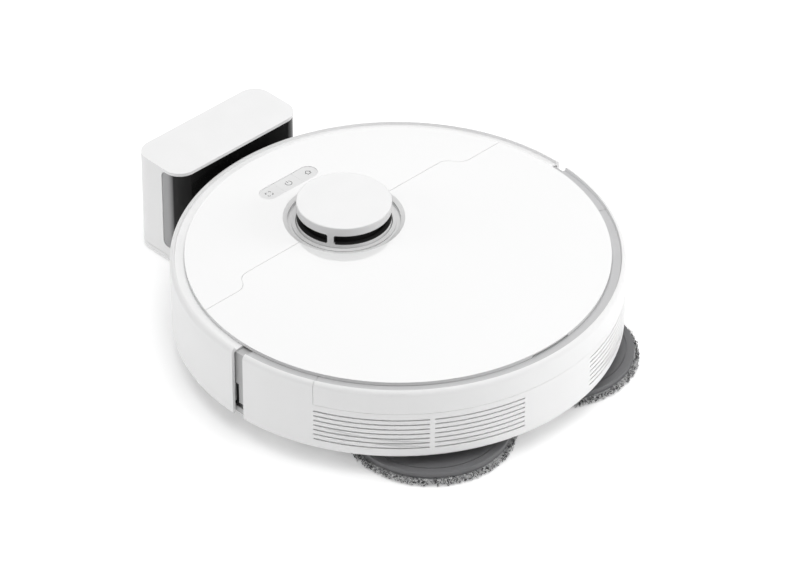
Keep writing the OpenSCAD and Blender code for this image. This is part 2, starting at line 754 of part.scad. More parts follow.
module caster_fork() color("black") translate([0, caster_y, 0]) difference() {
    union() {
        translate([0, 0, caster_r + 5]) cylinder(h = fork_top - caster_r - 6, r = fork_r);
        translate([0, 0, fork_top - 2]) cylinder(h = 6.5, r = 4);
        intersection() {
            pair() box(8.2, 12, caster_trail - 8, caster_trail + 8, 5, 24);
            cylinder(h = 40, r = fork_r);
        }
    }
    along_x(-8.2, 8.2, caster_trail, caster_r, caster_r + 1.2);
    translate([-20, caster_trail, caster_r]) rotate([0, 90, 0]) cylinder(h = 40, r = 2 + fit);
}

module caster_wheel() color("dimgray") {
    y = caster_y + caster_trail;
    along_x(-7.6, 7.6, y, caster_r, caster_r);
    along_x(-11.6, 11.6, y, caster_r, 2);
}

module wheel_arm_left() color("dimgray") difference() {
    reach = norm([arm_y, arm_z - wheel_r]);
    tilt = atan2(arm_z - wheel_r, arm_y);
    union() {
        along_x(arm_x0, arm_x1, arm_y, arm_z, 10);
        along_x(arm_x0, arm_x1, 0, wheel_r, 16);
        translate([arm_x0, 0, wheel_r]) rotate([tilt, 0, 0]) translate([0, 0, -9])
            cube([arm_x1 - arm_x0, reach, 18]);
        along_x(well_x0 - 7, arm_x0 + 1, arm_y, arm_z, 3);
        along_x(well_x0 + 5.4, arm_x0 + 1, arm_y, arm_z, 6);
        along_x(arm_x1 - 1, wheel_x + wheel_w / 2 + 1, 0, wheel_r, axle_r);
    }
}

module wheel_motor_left() color("silver") {
    along_x(66, arm_x0 - 4, motor_y, motor_z, motor_r);
    along_x(arm_x0 - 4.5, arm_x0, motor_y, motor_z, 6);
    along_x(64.5, 66, motor_y, motor_z, 4);
}

module wheel_hub_left() color("lightgray") difference() {
    along_x(wheel_x - wheel_w / 2, wheel_x + wheel_w / 2, 0, wheel_r, hub_r);
    along_x(wheel_x - 20, wheel_x + 20, 0, wheel_r, axle_r + fit);
    // dished outer face with spokes
    for (k = [0 : 5]) translate([wheel_x + 2, 0, wheel_r]) rotate([k * 60, 0, 0]) translate([0, 0, 16.5])
        rotate([0, 90, 0]) cylinder(h = 20, r = 6.2);
}

module tyre_left() color("dimgray") {
    lugs = 24;
    difference() {
        along_x(wheel_x - wheel_w / 2, wheel_x + wheel_w / 2, 0, wheel_r, wheel_r);
        along_x(wheel_x - 30, wheel_x + 30, 0, wheel_r, hub_r);
        for (k = [0 : lugs - 1]) translate([wheel_x, 0, wheel_r]) rotate([(k + 0.5) * 360 / lugs, 0, 0])
            translate([-wheel_w, -1.3, wheel_r - 2]) cube([2 * wheel_w, 2.6, 5]);
    }
}

module wheel_arm_right() { mirror([1, 0, 0]) wheel_arm_left(); }
module wheel_motor_right() { mirror([1, 0, 0]) wheel_motor_left(); }
module wheel_hub_right() { mirror([1, 0, 0]) wheel_hub_left(); }
module tyre_right() { mirror([1, 0, 0]) tyre_left(); }

// ---- Belly --------------------------------------------------------------------------------

module cliff_sensors() color("black")
    for (p = cliff_places) translate([p[0], p[1], belly_z]) cylinder(h = 6, r = 5);

module charge_contacts() color("gold")
    pair() box(contact_x - 8, contact_x + 8, contact_y - 5, contact_y + 5, belly_z, belly_z + 4);

module screws() color("silver") for (p = screw_places) translate([p[0], p[1], 0]) difference() {
    union() {
        translate([0, 0, head_z0]) cylinder(h = head_z1 - head_z0, r = head_r);
        translate([0, 0, head_z1 - 0.1]) cylinder(h = 6, r = screw_r);
    }
    // cross recess
    translate([-2, -0.4, head_z0 - 1]) cube([4, 0.8, 1.8]);
    translate([-0.4, -2, head_z0 - 1]) cube([0.8, 4, 1.8]);
}

// ---- Charging dock ------------------------------------------------------------------------

// Plan of the dock, drawn in by t on every side
module dock_plan(t) {
    soft_rect(-dock_w / 2 + t, dock_w / 2 - t, -dock_back + t, -dock_front - t, dock_r - t);
}

module dock_shell() color("white") difference() {
    translate([0, 0, 6]) linear_extrude(dock_h - 6) dock_plan(0);
    // hollow inside
    translate([0, 0, 3]) linear_extrude(dock_h - dock_top_t - 3) dock_plan(dock_wall);
    // opening of the front panel, wrapping round both sides
    panel_side(0);
    // seat of the power inlet
    translate([30, -dock_back - 1, 22]) rotate([-90, 0, 0]) cylinder(h = 6, r = 6 + fit);
}

// Side outline of the front panel, drawn in by t, with its two rear corners rounded
module panel_side(t) {
    r = panel_corner - t;
    y0 = panel_y + t;
    z0 = panel_z0 - 0.2 + t;
    z1 = panel_z1 + 0.2 - t;
    box(-100, 100, y0 + r, y0 + 60, z0, z1);
    box(-100, 100, y0, y0 + r + 1, z0 + r, z1 - r);
    for (z = [z0 + r, z1 - r]) along_x(-100, 100, y0 + r, z, r);
}

module dock_panel() color("black") difference() {
    intersection() {
        linear_extrude(dock_h) dock_plan(0.5);
        panel_side(0.2);
    }
    // hollow behind the face
    translate([0, 0, panel_z0 - 1]) linear_extrude(panel_z1) intersection() {
        dock_plan(3);
        translate([-100, panel_y - 1]) square([200, dock_face_y - 3 - panel_y + 1]);
    }
    // the hollow front face, under a sloped crescent
    intersection() {
        translate([0, dock_face_y + dock_face_r, 0]) cylinder(h = 100, r = dock_face_r);
        translate([-100, -dock_front - 0.5, panel_z1]) rotate([crescent_a, 0, 0]) translate([0, -100, -200])
            cube([200, 200, 200]);
    }
}

module dock_base() color("white") {
    difference() {
        union() {
            translate([0, 0, 2]) linear_extrude(4 - gap) dock_plan(0);
            translate([0, 0, 2]) linear_extrude(4 - gap)
                soft_rect(-58, 58, -dock_front - 20, plate_front, 12);
        }
        for (s = [-1, 1]) translate([s * contact_x - 7.2, contact_y - 4.2, 2.8]) cube([14.4, 8.4, 10]);
    }
}

module dock_contact_left() color("gold")
    box(contact_x - 7, contact_x + 7, contact_y - 4, contact_y + 4, 4.5, belly_z - 0.4);
module dock_contact_right() { mirror([1, 0, 0]) dock_contact_left(); }

module dock_inlet() color("black") translate([30, -dock_back, 22]) rotate([-90, 0, 0]) difference() {
    cylinder(h = 12, r = 6);
    translate([0, 0, -1]) cylinder(h = 11, r = inlet_r);
}

module dock_feet() color("dimgray") {
    for (s = [-1, 1], y = [-dock_back + 16, -dock_front - 6, plate_front - 12])
        translate([s * 46, y, 0]) cylinder(h = 2, r = 6);
}

base_chassis();
rear_skirt();
rear_trim_band();
rim_ring();
front_cover();
inner_deck();
lid();
bumper();
bumper_window();
button_spot();
button_power();
button_home();
turret_ring();
turret_cover();
lidar_base();
lidar_rotor();
lidar_motor();
lidar_pulley();
lidar_belt();
main_board();
battery_pack();
fan_housing();
fan_motor();
fan_impeller();
dustbin();
dust_filter();
water_tank();
mop_gearbox();
mop_motor();
mop_shaft_left();
mop_shaft_right();
mop_plate_left();
mop_plate_right();
mop_pad_left();
mop_pad_right();
brush_roller();
brush_cover();
brush_motor();
side_brush();
side_brush_motor();
caster_fork();
caster_wheel();
wheel_arm_left();
wheel_arm_right();
wheel_motor_left();
wheel_motor_right();
wheel_hub_left();
wheel_hub_right();
tyre_left();
tyre_right();
cliff_sensors();
charge_contacts();
screws();
dock_shell();
dock_panel();
dock_base();
dock_contact_left();
dock_contact_right();
dock_inlet();
dock_feet();
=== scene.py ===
"""Robot vacuum and mop at its charging dock: materials, light, camera and the detailed pieces."""

import json
import math
import random

import bmesh
import bpy
from mathutils import Matrix, Vector, noise


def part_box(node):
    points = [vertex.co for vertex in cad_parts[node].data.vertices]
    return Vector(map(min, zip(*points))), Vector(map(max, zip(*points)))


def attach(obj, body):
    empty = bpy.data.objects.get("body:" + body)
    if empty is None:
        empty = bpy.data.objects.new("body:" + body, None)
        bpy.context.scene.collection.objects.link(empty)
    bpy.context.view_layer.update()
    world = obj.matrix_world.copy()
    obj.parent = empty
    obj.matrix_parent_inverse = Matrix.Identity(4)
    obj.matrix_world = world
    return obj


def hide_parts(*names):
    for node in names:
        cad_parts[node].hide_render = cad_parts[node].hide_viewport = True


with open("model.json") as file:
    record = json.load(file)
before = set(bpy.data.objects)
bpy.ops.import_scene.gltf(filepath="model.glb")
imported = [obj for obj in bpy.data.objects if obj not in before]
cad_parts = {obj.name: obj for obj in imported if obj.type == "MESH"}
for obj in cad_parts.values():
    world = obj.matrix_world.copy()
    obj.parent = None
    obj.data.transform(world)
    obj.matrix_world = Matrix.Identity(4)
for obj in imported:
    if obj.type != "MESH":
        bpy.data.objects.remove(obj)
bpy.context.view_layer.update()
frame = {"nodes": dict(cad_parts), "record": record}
NODES = frame["nodes"]
SLOT_OF = {s["node"]: s["material_slot"] for s in frame["record"]["subparts"]}

# ---- Camera -------------------------------------------------------------------------------

CAM_AZIMUTH = 135.65  # degrees; 0 looks along +Y and 90 along -X
CAM_ELEVATION = 37.13  # degrees above the floor
CAM_ROLL = 0.19  # degrees
CAM_DISTANCE = 3.539  # metres
CAM_TARGET = Vector((0.00378, 0.00225, 0.05))
CAM_LENS = 209.02  # millimetres
CAM_SENSOR = 36  # millimetres

# ---- Light and floor ----------------------------------------------------------------------

# Strength of the white dome
HORIZON_LIGHT = 0.0
ZENITH_LIGHT = 0.7

# Softboxes, in metres: place, point aimed at, width and height, watts
FILLS = {
    "top": ((0.1, 0.35, 1.7), (0, 0.05, 0), (1.6, 1.6), 17),
    "right": ((-1.5, 1.3, 0.55), (0, 0, 0.05), (1.0, 0.9), 14),
    "left": ((1.5, -1.5, 0.6), (0, 0, 0.05), (0.9, 0.9), 7),
}
MIRRORED = {"back": ((-1.25, -1.3, 1.4), (0, 0, 0.08), (1.1, 0.9), 5)}

FLOOR_HALF = 30  # metres
FLOOR_DROP = 0.0003  # metres below the feet, so that the floor meets no face
FLOOR_WHITE = 0.97
FLOOR_GLOW = 0.22


def make_camera():
    a, e, r = (math.radians(v) for v in (CAM_AZIMUTH, CAM_ELEVATION, CAM_ROLL))
    back = Vector((math.sin(a) * math.cos(e), -math.cos(a) * math.cos(e), math.sin(e)))
    right = Vector((math.cos(a), math.sin(a), 0))
    up = back.cross(right)
    turned = right * math.cos(r) + up * math.sin(r)
    up = back.cross(turned)
    data = bpy.data.cameras.new("camera")
    data.lens = CAM_LENS
    data.sensor_width = CAM_SENSOR
    data.clip_start, data.clip_end = 0.05, 50
    cam = bpy.data.objects.new("camera", data)
    bpy.context.scene.collection.objects.link(cam)
    turn = Matrix((turned, up, back)).transposed().to_4x4()
    cam.matrix_world = Matrix.Translation(CAM_TARGET + back * CAM_DISTANCE) @ turn
    bpy.context.scene.camera = cam


def area_light(name, place, target, size, watts):
    data = bpy.data.lights.new(name, "AREA")
    data.shape = "RECTANGLE"
    data.size, data.size_y = size
    data.energy = watts
    light = bpy.data.objects.new(name, data)
    bpy.context.scene.collection.objects.link(light)
    place, target = Vector(place), Vector(target)
    light.location = place
    light.rotation_mode = "QUATERNION"
    light.rotation_quaternion = (target - place).to_track_quat("-Z", "Y")
    return light


def make_world():
    """A white dome, bright overhead and dimmer towards the horizon."""
    world = bpy.data.worlds.new("studio")
    world.use_nodes = True
    tree = world.node_tree
    background = tree.nodes["Background"]
    place = tree.nodes.new("ShaderNodeTexCoord")
    split = tree.nodes.new("ShaderNodeSeparateXYZ")
    height = tree.nodes.new("ShaderNodeMapRange")
    height.inputs["To Min"].default_value = HORIZON_LIGHT
    height.inputs["To Max"].default_value = ZENITH_LIGHT
    tree.links.new(place.outputs["Generated"], split.inputs["Vector"])
    tree.links.new(split.outputs["Z"], height.inputs["Value"])
    tree.links.new(height.outputs["Result"], background.inputs["Strength"])
    background.inputs["Color"].default_value = (1, 1, 1, 1)
    bpy.context.scene.world = world


def make_studio():
    scene = bpy.context.scene
    scene.view_settings.view_transform = "Standard"
    scene.view_settings.look = "None"
    make_world()
    # soft fills overhead and on both sides, kept out of the glossy surfaces
    for name, box in FILLS.items():
        area_light(name, *box).visible_glossy = False
    # the softbox that the glossy lid mirrors
    for name, box in MIRRORED.items():
        area_light(name, *box)

    mesh = bpy.data.meshes.new("floor")
    r = FLOOR_HALF
    mesh.from_pydata([(-r, -r, 0), (r, -r, 0), (r, r, 0), (-r, r, 0)], [], [(0, 1, 2, 3)])
    floor = bpy.data.objects.new("floor", mesh)
    scene.collection.objects.link(floor)
    floor.location.z = -FLOOR_DROP
    mat = bpy.data.materials.new("floor")
    mat.use_nodes = True
    shader = mat.node_tree.nodes["Principled BSDF"]
    shader.inputs["Base Color"].default_value = (FLOOR_WHITE, FLOOR_WHITE, FLOOR_WHITE, 1)
    shader.inputs["Roughness"].default_value = 0.9
    shader.inputs["Emission Color"].default_value = (1, 1, 1, 1)
    shader.inputs["Emission Strength"].default_value = FLOOR_GLOW
    floor.data.materials.append(mat)


# ---- Materials ----------------------------------------------------------------------------

# Grey of the dock panel's flat side faces, a painted reflection of a softbox; and of the channel round
# the top plate, darkened as painted shade
PANEL_REFLECTION_GREY = (0.36, 0.36, 0.365)
CHANNEL_PAINTED_SHADE_GREY = (0.52, 0.52, 0.525)

# Yarns of the mop pads' fringe, and the ink of the button icons
FIBRE_LIGHT = (0.85, 0.85, 0.85)
FIBRE_DARK = (0.035, 0.035, 0.037)
ICON_INK = (0.04, 0.04, 0.042)

# Base colour of each finish in the record
PAINT = {
    "white_gloss": (0.76, 0.76, 0.76),
    "white_satin": (0.82, 0.82, 0.82),
    "ring_grey": (0.71, 0.71, 0.71),
    "recess_grey": (0.5, 0.5, 0.5),
    "deck_grey": (0.6, 0.61, 0.62),
    "black_gloss": (0.012, 0.012, 0.012),
    "black_matt": (0.03, 0.03, 0.03),
    "carrier_grey": (0.16, 0.16, 0.165),
    "frame_grey": (0.2, 0.2, 0.21),
    "pad_fabric": (0.42, 0.42, 0.43),
    "filter_pleats": (0.82, 0.81, 0.76),
    "tyre_rubber": (0.05, 0.05, 0.055),
    "brush_rubber": (0.2, 0.22, 0.25),
    "side_bristle": (0.08, 0.08, 0.09),
    "motor_steel": (0.6, 0.6, 0.62),
    "shaft_steel": (0.7, 0.7, 0.72),
    "contact_brass": (0.83, 0.66, 0.3),
    "board_green": (0.02, 0.16, 0.07),
    "battery_wrap": (0.06, 0.17, 0.3),
    "bin_smoke": (0.24, 0.26, 0.29),
    "tank_grey": (0.5, 0.53, 0.57),
    "impeller_white": (0.78, 0.79, 0.8),
    "foot_rubber": (0.1, 0.1, 0.1),
}


class Nodes:
    """A small helper that adds linked shader nodes to one material."""

    def __init__(self, name):
        self.mat = bpy.data.materials.new(name)
        self.mat.use_nodes = True
        self.tree = self.mat.node_tree
        self.shader = self.tree.nodes["Principled BSDF"]
        self.place = self.add("ShaderNodeTexCoord").outputs["Object"]

    def add(self, kind, **settings):
        node = self.tree.nodes.new(kind)
        for key, value in settings.items():
            setattr(node, key, value)
        return node

    def link(self, source, target):
        self.tree.links.new(source, target)

    def noise(self, scale, detail=4.0, rough=0.55, source=None):
        node = self.add("ShaderNodeTexNoise")
        node.inputs["Scale"].default_value = scale
        node.inputs["Detail"].default_value = detail
        node.inputs["Roughness"].default_value = rough
        self.link(source or self.place, node.inputs["Vector"])
        return node.outputs["Fac"]

    def ramp(self, source, *stops):
        node = self.add("ShaderNodeValToRGB")
        ramp = node.color_ramp
        while len(ramp.elements) < len(stops):
            ramp.elements.new(0.5)
        for element, (at, colour) in zip(ramp.elements, stops):
            element.position = at
            element.color = (*colour, 1)
        self.link(source, node.inputs["Fac"])
        return node.outputs["Color"]

    def spread(self, source, low, high):
        """Maps a noise value of 0.3 to 0.7 onto low to high."""
        node = self.add("ShaderNodeMapRange")
        node.inputs["From Min"].default_value = 0.3
        node.inputs["From Max"].default_value = 0.7
        node.inputs["To Min"].default_value = low
        node.inputs["To Max"].default_value = high
        self.link(source, node.inputs["Value"])
        return node.outputs["Result"]

    def bump(self, source, strength, distance):
        node = self.add("ShaderNodeBump")
        node.inputs["Strength"].default_value = strength
        node.inputs["Distance"].default_value = distance
        self.link(source, node.inputs["Height"])
        return node.outputs["Normal"]

    def set(self, **values):
        for key, value in values.items():
            self.shader.inputs[key.replace("_", " ")].default_value = value


def scaled(colour, k):
    return tuple(min(1.0, c * k) for c in colour)


def plastic(name, colour, rough, grain=0.0, grain_scale=2500.0, coat=0.0, tint=0.02):
    """Moulded plastic: a slow change of tone, uneven gloss, and a fine moulded grain."""
    n = Nodes(name)
    slow = n.noise(9.0, 3.0)
    tone = n.ramp(slow, (0.3, scaled(colour, 1 - tint)), (0.7, scaled(colour, 1 + tint)))
    n.link(tone, n.shader.inputs["Base Color"])
    fine = n.noise(grain_scale, 2.0)
    smear = n.noise(60.0, 5.0)
    n.link(n.spread(smear, rough * 0.85, rough * 1.2), n.shader.inputs["Roughness"])
    if grain:
        n.link(n.bump(fine, grain, 0.00004), n.shader.inputs["Normal"])
    n.set(Coat_Weight=coat, Coat_Roughness=0.06)
    return n.mat


def metal(name, colour, rough):
    """Drawn or turned metal, with fine lines along one axis."""
    n = Nodes(name)
    mapping = n.add("ShaderNodeMapping")
    mapping.inputs["Scale"].default_value = (1, 1, 30)
    n.link(n.place, mapping.inputs["Vector"])
    lines = n.noise(400.0, 3.0, source=mapping.outputs["Vector"])
    tone = n.ramp(lines, (0.3, scaled(colour, 0.86)), (0.7, scaled(colour, 1.08)))
    n.link(tone, n.shader.inputs["Base Color"])
    n.link(n.spread(lines, rough * 0.8, rough * 1.3), n.shader.inputs["Roughness"])
    n.link(n.bump(lines, 0.15, 0.00003), n.shader.inputs["Normal"])
    n.set(Metallic=1.0)
    return n.mat


def rubber(name, colour):
    """Soft rubber: matt, lightly dusty."""
    rough = 0.62
    n = Nodes(name)
    dust = n.noise(180.0, 6.0, 0.7)
    tone = n.ramp(dust, (0.4, colour), (0.75, scaled(colour, 1.7)))
    n.link(tone, n.shader.inputs["Base Color"])
    n.link(n.spread(dust, rough * 0.9, rough * 1.2), n.shader.inputs["Roughness"])
    n.link(n.bump(n.noise(1800.0, 3.0), 0.25, 0.00006), n.shader.inputs["Normal"])
    return n.mat


def cloth(name, colour, scale=900.0):
    """Close microfibre."""
    n = Nodes(name)
    fine = n.noise(scale, 6.0, 0.75)
    tone = n.ramp(fine, (0.35, scaled(colour, 0.6)), (0.7, scaled(colour, 1.35)))
    n.link(tone, n.shader.inputs["Base Color"])
    n.link(n.bump(fine, 0.8, 0.0004), n.shader.inputs["Normal"])
    n.set(Roughness=0.9, Sheen_Weight=0.3, Sheen_Roughness=0.5)
    return n.mat


def black_with_painted_reflection(name, face, sides):
    """Black gloss with a painted reflection: its flat side faces are painted a satin grey that fades
    to black round the corners.

    The tone follows how far a face points along X, from 0 for the front to 1 for a flat side.
    """
    n = Nodes(name)
    facing = n.add("ShaderNodeSeparateXYZ")
    n.link(n.add("ShaderNodeTexCoord").outputs["Normal"], facing.inputs["Vector"])
    sideways = n.add("ShaderNodeMath", operation="ABSOLUTE")
    n.link(facing.outputs["X"], sideways.inputs[0])
    # painted reflection: grey on the flat side faces, fading to black round the corners
    tone = n.ramp(
        sideways.outputs["Value"],
        (0.0, face),
        (0.9, face),
        (0.94, scaled(sides, 0.5)),
        (1.0, sides),
    )
    n.link(tone, n.shader.inputs["Base Color"])
    n.link(n.spread(n.noise(60.0, 5.0), 0.14, 0.2), n.shader.inputs["Roughness"])
    n.set(Specular_IOR_Level=0.2)
    return n.mat


def make_materials():
    c = PAINT
    m = {
        "white_gloss": plastic("white_gloss", c["white_gloss"], 0.06, coat=0.8, tint=0.004),
        "white_satin": plastic("white_satin", c["white_satin"], 0.38, coat=0.04, tint=0.004),
        "ring_grey": plastic("ring_grey", c["ring_grey"], 0.38, grain=0.08),
        "recess_grey": plastic("recess_grey", c["recess_grey"], 0.45, grain=0.15),
        "deck_grey": plastic("deck_grey", c["deck_grey"], 0.5, grain=0.25),
        "black_gloss": plastic("black_gloss", c["black_gloss"], 0.08, coat=0.6, tint=0.1),
        # the dock panel's black gloss, with a painted reflection on its side faces
        "panel_painted_reflection": black_with_painted_reflection("panel_painted_reflection", c["black_gloss"], PANEL_REFLECTION_GREY),
        "black_matt": plastic("black_matt", c["black_matt"], 0.42, grain=0.15, tint=0.1),
        "carrier_grey": plastic("carrier_grey", c["carrier_grey"], 0.42, grain=0.2, tint=0.05),
        "frame_grey": plastic("frame_grey", c["frame_grey"], 0.5, grain=0.3, tint=0.06),
        "bin_smoke": plastic("bin_smoke", c["bin_smoke"], 0.12, coat=0.3, tint=0.05),
        "tank_grey": plastic("tank_grey", c["tank_grey"], 0.3, coat=0.1, tint=0.04),
        "impeller_white": plastic("impeller_white", c["impeller_white"], 0.4, grain=0.1),
        "battery_wrap": plastic("battery_wrap", c["battery_wrap"], 0.28, coat=0.2, tint=0.08),
        "board_green": plastic(
            "board_green", c["board_green"], 0.35, grain=0.2, grain_scale=700.0, tint=0.25
        ),
        "motor_steel": metal("motor_steel", c["motor_steel"], 0.3),
        "shaft_steel": metal("shaft_steel", c["shaft_steel"], 0.22),
        "contact_brass": metal("contact_brass", c["contact_brass"], 0.2),
        "tyre_rubber": rubber("tyre_rubber", c["tyre_rubber"]),
        "brush_rubber": rubber("brush_rubber", c["brush_rubber"]),
        "side_bristle": rubber("side_bristle", c["side_bristle"]),
        "foot_rubber": rubber("foot_rubber", c["foot_rubber"]),
        "pad_fabric": cloth("pad_fabric", c["pad_fabric"]),
        "filter_pleats": cloth("filter_pleats", c["filter_pleats"], scale=1500.0),
    }
    m["fibre_light"] = cloth("fibre_light", FIBRE_LIGHT, scale=2500.0)
    m["fibre_dark"] = cloth("fibre_dark", FIBRE_DARK, scale=2500.0)
    m["icon_ink"] = plastic("icon_ink", ICON_INK, 0.4, tint=0.1)
    # the ring's grey plastic, darkened further as painted shade in the channel round the top plate
    m["painted_shade_channel"] = plastic("painted_shade_channel", CHANNEL_PAINTED_SHADE_GREY, 0.35)
    # two nodes whose look differs from their slot's plain finish: the dock panel with a painted
    # reflection on its sides, and the rim ring's grey darkened as painted shade
    finish = dict(SLOT_OF, dock_panel="panel_painted_reflection", rim_ring="painted_shade_channel")
    for node, obj in NODES.items():
        obj.data.materials.clear()
        obj.data.materials.append(m[finish[node]])
    return m


# ---- Building helpers ---------------------------------------------------------------------

MM = 0.001


def new_object(name, bm, materials, smooth=True):
    """Turns a bmesh into an object with the given materials."""
    mesh = bpy.data.meshes.new(name)
    if smooth:
        for face in bm.faces:
            face.smooth = True
    bm.to_mesh(mesh)
    bm.free()
    obj = bpy.data.objects.new(name, mesh)
    bpy.context.scene.collection.objects.link(obj)
    for mat in materials:
        mesh.materials.append(mat)
    return obj


def skin(bm, rings, closed=False, material=0):
    """Joins neighbouring rings of corners with faces, and caps both ends unless it closes."""
    for one, two in zip(rings, rings[1:] + rings[:1] if closed else rings[1:]):
        count = len(one)
        for k in range(count):
            j = (k + 1) % count
            bm.faces.new((one[k], one[j], two[j], two[k])).material_index = material
    if not closed:
        for end in (rings[0][::-1], rings[-1]):
            bm.faces.new(end).material_index = material


def lathe(bm, outline, sides, centre=(0, 0, 0), material=0, bump=None):
    """Revolves closed (radius, height) points about a vertical axis; bump shifts each point."""
    rings = []
    for k in range(sides):
        a = 2 * math.pi * k / sides
        ring = []
        for r, z in outline:
            p = Vector((r * math.cos(a), r * math.sin(a), z))
            if bump:
                p += bump(p)
            ring.append(bm.verts.new(p + Vector(centre)))
        rings.append(ring)
    for k in range(sides):
        one, two = rings[k], rings[(k + 1) % sides]
        for i in range(len(outline)):
            j = (i + 1) % len(outline)
            face = bm.faces.new((one[i], two[i], two[j], one[j]))
            face.material_index = material


def strand(bm, points, radius, tip, sides=4, material=0):
    """A thin tapered thread along points, closed at both ends."""
    count = len(points)
    rings = []
    turns = [2 * math.pi * k / sides for k in range(sides)]
    for i, p in enumerate(points):
        ahead = points[min(i + 1, count - 1)] - points[max(i - 1, 0)]
        across = ahead.orthogonal().normalized()
        other = ahead.cross(across).normalized()
        r = radius + (tip - radius) * i / (count - 1)
        ring = [p + r * (math.cos(a) * across + math.sin(a) * other) for a in turns]
        rings.append([bm.verts.new(q) for q in ring])
    for one, two in zip(rings, rings[1:]):
        # neighbouring rings can start at different angles, so each is matched to the next
        shift = min(range(sides), key=lambda s: (one[0].co - two[s].co).length)
        two[:] = two[shift:] + two[:shift]
    skin(bm, rings, material=material)


# ---- Mop pads -----------------------------------------------------------------------------

CURLS = 2600
UNDERSIDE_CURLS = 2600
FRINGE = 3.2 * MM  # between the firm disc's edge and the fringe's

# Which of the three yarns each curl takes, by chance: 0 light, 1 pad fabric, 2 dark
FRINGE_YARNS = (0, 0, 0, 1, 2, 2)
UNDERSIDE_YARNS = (0, 0, 1, 1, 1, 2)


def curl(rng, centre, size):
    """Points of a small open loop of yarn that turns about a slanting axis."""
    axis = Vector((rng.gauss(0, 1), rng.gauss(0, 1), rng.gauss(0, 0.6))).normalized()
    one = axis.orthogonal().normalized()
    two = axis.cross(one)
    start, turn = rng.uniform(0, 2 * math.pi), rng.uniform(2.6, 4.8)
    steps = [start + turn * k / 4 for k in range(5)]
    return [centre + size * (math.cos(t) * one + math.sin(t) * two) for t in steps]


def mop_pad(side, rng):
    """A microfibre pad: a soft crowned disc with a fringe of curls and curls underneath."""
    node = f"mop_pad_{side}"
    low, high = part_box(node)
    centre = (Vector(low) + Vector(high)) / 2
    radius = (high[0] - low[0]) / 2
    thick = high[2] - low[2]
    bm = bmesh.new()
    core = radius - FRINGE
    outline = [(0.4 * MM, 0.9 * MM)]
    outline += [(core * k / 12, 0.9 * MM) for k in range(1, 12)]
    outline += [
        (core - 1.8 * MM + 1.8 * MM * math.sin(t), thick / 2 - (thick / 2 - 0.8 * MM) * math.cos(t))
        for t in (math.pi * k / 6 for k in range(7))
    ]
    outline += [(core * k / 12, thick - 0.15 * MM) for k in range(11, 0, -3)]
    outline += [(0.4 * MM, thick - 0.15 * MM)]

    def shaggy(p):
        if p.z > thick * 0.6:
            return Vector((0, 0, 0))
        n = noise.noise(p * 420) * 0.5 * MM
        out = Vector((p.x, p.y, 0)).normalized()
        return out * n + Vector((0, 0, abs(n) * 0.6))

    base = Vector((centre[0], centre[1], low[2]))
    lathe(bm, outline, 180, base, 1, shaggy)
    for _ in range(CURLS):
        a = rng.uniform(0, 2 * math.pi)
        size = rng.uniform(0.6, 1.25) * MM
        reach = radius - size - rng.triangular(-0.6, 4.6, 0.4) * MM
        height = rng.uniform(0.2, thick / MM - 1.6) * MM + size
        middle = base + Vector((reach * math.cos(a), reach * math.sin(a), height))
        loop = curl(rng, middle, size)
        strand(bm, loop, 0.34 * MM, 0.2 * MM, material=rng.choice(FRINGE_YARNS))
    for _ in range(UNDERSIDE_CURLS):
        r = core * math.sqrt(rng.random())
        a = rng.uniform(0, 2 * math.pi)
        middle = base + Vector((r * math.cos(a), r * math.sin(a), 1.3 * MM))
        loop = curl(rng, middle, rng.uniform(0.8, 1.5) * MM)
        for p in loop:
            p.z = max(p.z, base.z + 0.35 * MM)
        strand(bm, loop, 0.42 * MM, 0.3 * MM, material=rng.choice(UNDERSIDE_YARNS))
    fibres = [MATERIALS["fibre_light"], MATERIALS["pad_fabric"], MATERIALS["fibre_dark"]]
    obj = new_object(f"mop_cloth_{side}", bm, fibres)
    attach(obj, f"mop_{side}")
    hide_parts(node)


# ---- Trims in the casing, and painted shade in the bumper's end slots ---------------------


def arc_block(bm, centre, radii, heights, degrees, step=2.0):
    """A solid block bent round a vertical axis, in steps of about the given degrees."""
    a0, a1 = (math.radians(v) for v in degrees)
    count = max(2, round(abs(degrees[1] - degrees[0]) / step))
    section = [(radii[i], Vector((0, 0, heights[j]))) for i, j in ((0, 0), (1, 0), (1, 1), (0, 1))]
    rows = []
    for k in range(count + 1):
        a = a0 + (a1 - a0) * k / count
        along = Vector((math.cos(a), math.sin(a), 0))
        rows.append([bm.verts.new(centre + along * r + rise) for r, rise in section])
    skin(bm, rows)


WINDOW_LOW, WINDOW_HIGH = 81.1 * MM, 89.3 * MM
WINDOW_COUNT = 3
POST_DIRECTION, POST_WIDTH = 30, 8  # degrees
LINER_END = 1.2  # degrees that the sill and lintel liners stop short of each post


def window_trim():
    """A thin black liner on the four sides of each turret window."""
    low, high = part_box("turret_cover")
    axis = Vector(((low[0] + high[0]) / 2, (low[1] + high[1]) / 2, 0))
    outer = (high[0] - low[0]) / 2
    radii = (outer - 4.0 * MM, outer - 0.12 * MM)
    thick, sunk = 0.3 * MM, 0.02 * MM
    sill = (WINDOW_LOW - sunk, WINDOW_LOW + thick)
    lintel = (WINDOW_HIGH - thick, WINDOW_HIGH + sunk)
    jamb = (WINDOW_LOW + 1.2 * MM, WINDOW_HIGH - 1.2 * MM)
    bm = bmesh.new()
    for k in range(WINDOW_COUNT):
        a0 = POST_DIRECTION + 360 / WINDOW_COUNT * k + POST_WIDTH / 2
        a1 = a0 + 360 / WINDOW_COUNT - POST_WIDTH
        for heights in (sill, lintel):
            arc_block(bm, axis, radii, heights, (a0 + LINER_END, a1 - LINER_END))
        for ends in ((a0 - 0.05, a0 + 0.5), (a1 - 0.5, a1 + 0.05)):
            arc_block(bm, axis, radii, jamb, ends)
    bmesh.ops.recalc_face_normals(bm, faces=bm.faces)
    obj = new_object("turret_window_trim", bm, [MATERIALS["black_matt"]], smooth=False)
    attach(obj, "turret")


